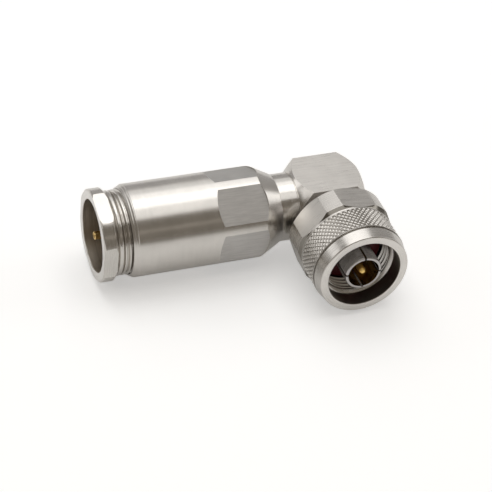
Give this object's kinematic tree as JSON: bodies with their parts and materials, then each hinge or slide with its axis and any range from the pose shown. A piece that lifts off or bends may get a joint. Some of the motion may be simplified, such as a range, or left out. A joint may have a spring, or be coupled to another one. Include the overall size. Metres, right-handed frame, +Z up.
{
  "type": "right-angle coaxial plug connector",
  "caption": "Right-angle N-type coaxial plug with a knurled hexagon coupling nut, square elbow block and screwed cable clamp, nickel plated, with gold contacts",
  "frame": {"origin": "centre of the outer contact's front edge, the mating plane of the plug", "axes": "-Y runs out of the mouth along the coupling axis, -X along the cable axis towards the cable, +Z up out of the plane of the elbow"},
  "size_m": [0.0631, 0.0362, 0.0218],
  "materials": {
    "nickel_bright": "nickel plated, turned bright with a diamond knurl and brushed wrench flats",
    "nickel_turned": "nickel plated, fine turned lines",
    "nickel_brushed": "nickel plated over brushed faces",
    "nickel_contact": "nickel plated, smooth",
    "spring_bronze": "plain phosphor bronze",
    "gold_plate": "gold plated, polished",
    "ptfe": "white PTFE, waxy",
    "red_silicone": "dark red silicone rubber",
    "black_rubber": "black rubber, matt"
  },
  "bodies": {
    "connector_body": {"elbow_body": "nickel_brushed", "outer_contact": "nickel_contact", "centre_pin": "gold_plate", "front_insulator": "ptfe", "elbow_insulator": "ptfe", "neck_insulator": "ptfe", "cable_contact": "gold_plate", "barrel": "nickel_turned", "neck_o_ring": "black_rubber", "interface_gasket": "red_silicone", "cable_gasket": "black_rubber", "braid_clamp": "nickel_contact"},
    "ring": {"retaining_ring": "spring_bronze"},
    "nut": {"coupling_nut": "nickel_bright"},
    "washer": {"slip_washer": "nickel_contact"},
    "clamp": {"clamp_nut": "nickel_turned"}
  },
  "joints": [
    {"name": "nut_play", "type": "slide", "parent": "connector_body", "child": "ring", "axis": [0, -1, 0], "range_m": [0, 0.0004]},
    {"name": "nut_turn", "type": "hinge", "parent": "ring", "child": "nut", "pos_m": [0, 0, 0], "axis": [0, -1, 0], "continuous": true},
    {"name": "washer_slide", "type": "slide", "parent": "connector_body", "child": "washer", "axis": [-1, 0, 0], "range_m": [-0.00145, 0.00555]},
    {"name": "clamp_turn", "type": "hinge", "parent": "washer", "child": "clamp", "pos_m": [-0.045, 0.0257, 0], "axis": [-1, 0, 0], "range_deg": [-504, 1980]}
  ],
  "couplings": [
    {"joint": "washer_slide", "follows": "clamp_turn", "m_per_rad": 0.00015915}
  ]
}
